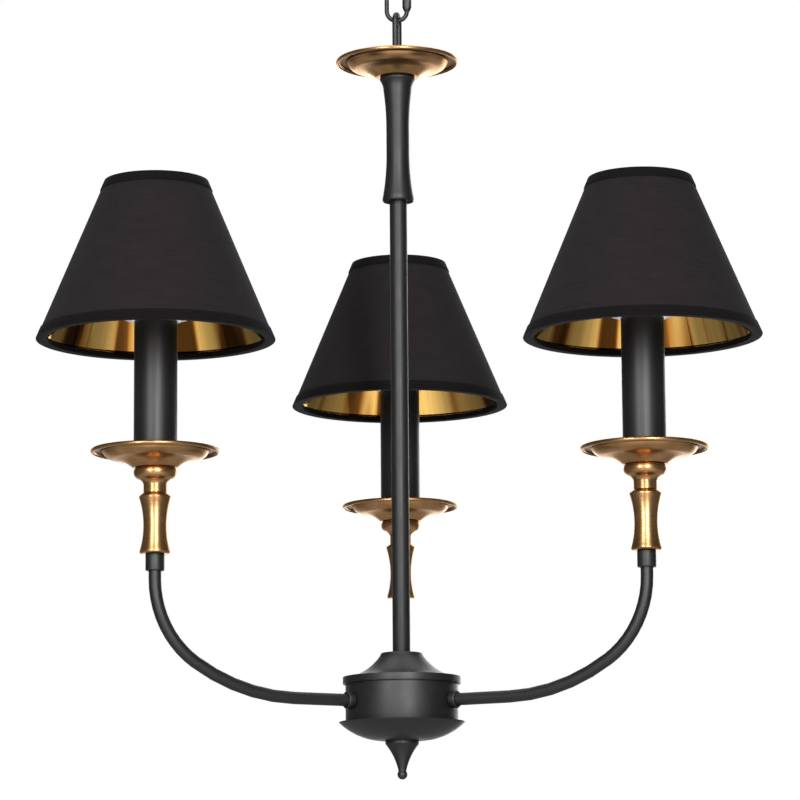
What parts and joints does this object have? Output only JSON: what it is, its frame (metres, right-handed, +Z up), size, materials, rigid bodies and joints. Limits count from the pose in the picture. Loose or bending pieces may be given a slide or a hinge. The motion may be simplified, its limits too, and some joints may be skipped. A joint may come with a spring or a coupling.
{
  "type": "candle chandelier",
  "caption": "Hanging candle chandelier: black stem and hub, sweeping tube arms, brass vases and drip dishes, black candle sleeves and tapered black shades lined with gold foil.",
  "frame": {"origin": "inside of the top bend of the chain link, where the chain or hook above bears", "axes": "+Z up along the stem; one arm points to +Y, away from the viewer, and the other two to the front left and front right"},
  "size_m": [0.46, 0.4188, 0.5632],
  "materials": {
    "black_satin": "satin black powder coat",
    "black_sleeve": "satin black enamel",
    "antique_brass": "antiqued and brushed, lacquered",
    "bare_brass": "bare",
    "zinc_steel": "zinc plated",
    "white_wire": "white coated wire and washer",
    "white_plastic": "moulded",
    "wire_cover": "wire insulation",
    "black_fabric": "plain weave on card",
    "black_trim": "folded bias tape",
    "gold_foil": "metallised gold film"
  },
  "bodies": {
    "chain": {"chain_link": "black_satin"},
    "oval_link": {"quick_link": "black_satin"},
    "link_nut": {"quick_link_nut": "black_satin"},
    "shade_1": {"shade_fabric_1": "black_fabric", "shade_lining_1": "gold_foil", "shade_trim_1": "black_trim", "shade_frame_1": "white_wire"},
    "ring_1": {"shade_ring_1": "white_plastic"},
    "shade_2": {"shade_fabric_2": "black_fabric", "shade_lining_2": "gold_foil", "shade_trim_2": "black_trim", "shade_frame_2": "white_wire"},
    "ring_2": {"shade_ring_2": "white_plastic"},
    "shade_3": {"shade_fabric_3": "black_fabric", "shade_lining_3": "gold_foil", "shade_trim_3": "black_trim", "shade_frame_3": "white_wire"},
    "ring_3": {"shade_ring_3": "white_plastic"},
    "frame": {"hanging_loop": "black_satin", "loop_washer": "zinc_steel", "top_saucer": "antique_brass", "column": "black_satin", "stem_tube": "black_satin", "top_pipe": "zinc_steel", "hub_lid": "black_satin", "hub_drum": "black_satin", "hub_bowl": "black_satin", "finial": "black_satin", "hub_pipe": "zinc_steel", "hub_nuts": "zinc_steel", "arm_collars": "black_satin", "arm_nuts": "zinc_steel", "terminal_block": "white_plastic", "feed_wire": "wire_cover", "arm_wires": "wire_cover", "ferrules": "black_satin", "candle_pipes": "zinc_steel", "candle_nuts": "zinc_steel", "holder_pillars": "zinc_steel", "lamp_contacts": "bare_brass", "arm_1": "black_satin", "vase_1": "antique_brass", "knob_1": "antique_brass", "drip_dish_1": "antique_brass", "candle_sleeve_1": "black_sleeve", "lampholder_1": "white_plastic", "arm_2": "black_satin", "vase_2": "antique_brass", "knob_2": "antique_brass", "drip_dish_2": "antique_brass", "candle_sleeve_2": "black_sleeve", "lampholder_2": "white_plastic", "arm_3": "black_satin", "vase_3": "antique_brass", "knob_3": "antique_brass", "drip_dish_3": "antique_brass", "candle_sleeve_3": "black_sleeve", "lampholder_3": "white_plastic"}
  },
  "joints": [
    {"name": "link_swing", "type": "hinge", "parent": "chain", "child": "oval_link", "pos_m": [0, 0, -0.0255], "axis": [0, 1, 0], "range_deg": [-35, 35]},
    {"name": "body_swing", "type": "hinge", "parent": "oval_link", "child": "frame", "pos_m": [0, 0, -0.0552], "axis": [1, 0, 0], "range_deg": [-35, 35]},
    {"name": "nut_travel", "type": "slide", "parent": "oval_link", "child": "link_nut", "axis": [0, 0, 1], "range_m": [0, 0.0074]},
    {"name": "shade_lift_1", "type": "slide", "parent": "frame", "child": "shade_1", "axis": [0, 0, 1], "range_m": [0, 0.06]},
    {"name": "ring_turn_1", "type": "hinge", "parent": "shade_1", "child": "ring_1", "pos_m": [0, 0.178, -0.2714], "axis": [0, 0, 1], "continuous": true},
    {"name": "shade_lift_2", "type": "slide", "parent": "frame", "child": "shade_2", "axis": [0, 0, 1], "range_m": [0, 0.06]},
    {"name": "ring_turn_2", "type": "hinge", "parent": "shade_2", "child": "ring_2", "pos_m": [-0.15415, -0.089, -0.2714], "axis": [0, 0, 1], "continuous": true},
    {"name": "shade_lift_3", "type": "slide", "parent": "frame", "child": "shade_3", "axis": [0, 0, 1], "range_m": [0, 0.06]},
    {"name": "ring_turn_3", "type": "hinge", "parent": "shade_3", "child": "ring_3", "pos_m": [0.15415, -0.089, -0.2714], "axis": [0, 0, 1], "continuous": true}
  ]
}
